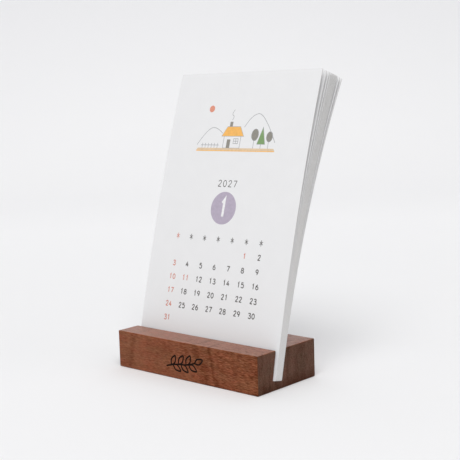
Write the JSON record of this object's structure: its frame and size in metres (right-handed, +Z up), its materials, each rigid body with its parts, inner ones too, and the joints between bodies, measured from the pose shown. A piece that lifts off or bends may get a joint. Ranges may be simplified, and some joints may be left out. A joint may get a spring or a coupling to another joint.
{
  "type": "desk calendar",
  "caption": "Desk calendar: loose monthly cards stand fanned in a slanted slot across a small hardwood block",
  "frame": {"origin": "centre of the wooden block's flat underside", "axes": "+Z up, the block's front (the bar in front of the slot) faces -Y, +X is to the right seen from the front"},
  "size_m": [0.1002, 0.0717, 0.1567],
  "materials": {
    "walnut": "oiled, satin",
    "card_stock": "uncoated, matt"
  },
  "bodies": {
    "base": {"wooden_base": "walnut"},
    "january_leaf": {"card_january": "card_stock"},
    "february_leaf": {"card_february": "card_stock"},
    "march_leaf": {"card_march": "card_stock"},
    "april_leaf": {"card_april": "card_stock"},
    "may_leaf": {"card_may": "card_stock"},
    "june_leaf": {"card_june": "card_stock"},
    "july_leaf": {"card_july": "card_stock"},
    "august_leaf": {"card_august": "card_stock"},
    "september_leaf": {"card_september": "card_stock"},
    "october_leaf": {"card_october": "card_stock"},
    "november_leaf": {"card_november": "card_stock"},
    "december_leaf": {"card_december": "card_stock"},
    "title_leaf": {"title_card": "card_stock"}
  },
  "joints": [
    {"name": "january_lift", "type": "hinge", "parent": "base", "child": "january_leaf", "pos_m": [0, 1.20989, -0.26311], "axis": [-1, 0, 0], "range_deg": [0, 7.56]},
    {"name": "february_lift", "type": "hinge", "parent": "base", "child": "february_leaf", "pos_m": [0, 0.92698, -0.2009], "axis": [-1, 0, 0], "range_deg": [0, 9.85]},
    {"name": "march_lift", "type": "hinge", "parent": "base", "child": "march_leaf", "pos_m": [0, 0.80801, -0.17474], "axis": [-1, 0, 0], "range_deg": [0, 11.28]},
    {"name": "april_lift", "type": "hinge", "parent": "base", "child": "april_leaf", "pos_m": [0, 0.75114, -0.16222], "axis": [-1, 0, 0], "range_deg": [0, 12.13]},
    {"name": "may_lift", "type": "hinge", "parent": "base", "child": "may_leaf", "pos_m": [0, 0.73158, -0.15791], "axis": [-1, 0, 0], "range_deg": [0, 12.46]},
    {"name": "june_lift", "type": "hinge", "parent": "base", "child": "june_leaf", "pos_m": [0, 0.71303, -0.15383], "axis": [-1, 0, 0], "range_deg": [0, 12.79]},
    {"name": "july_lift", "type": "hinge", "parent": "base", "child": "july_leaf", "pos_m": [0, 0.69543, -0.14995], "axis": [-1, 0, 0], "range_deg": [0, 13.11]},
    {"name": "august_lift", "type": "hinge", "parent": "base", "child": "august_leaf", "pos_m": [0, 0.6787, -0.14626], "axis": [-1, 0, 0], "range_deg": [0, 13.44]},
    {"name": "september_lift", "type": "hinge", "parent": "base", "child": "september_leaf", "pos_m": [0, 0.66278, -0.14275], "axis": [-1, 0, 0], "range_deg": [0, 13.77]},
    {"name": "october_lift", "type": "hinge", "parent": "base", "child": "october_leaf", "pos_m": [0, 0.64761, -0.1394], "axis": [-1, 0, 0], "range_deg": [0, 14.09]},
    {"name": "november_lift", "type": "hinge", "parent": "base", "child": "november_leaf", "pos_m": [0, 0.63315, -0.13621], "axis": [-1, 0, 0], "range_deg": [0, 14.42]},
    {"name": "december_lift", "type": "hinge", "parent": "base", "child": "december_leaf", "pos_m": [0, 0.57792, -0.12406], "axis": [-1, 0, 0], "range_deg": [0, 15.79]},
    {"name": "title_lift", "type": "hinge", "parent": "base", "child": "title_leaf", "pos_m": [0, 0.53362, -0.11431], "axis": [-1, 0, 0], "range_deg": [0, 17.1]}
  ]
}
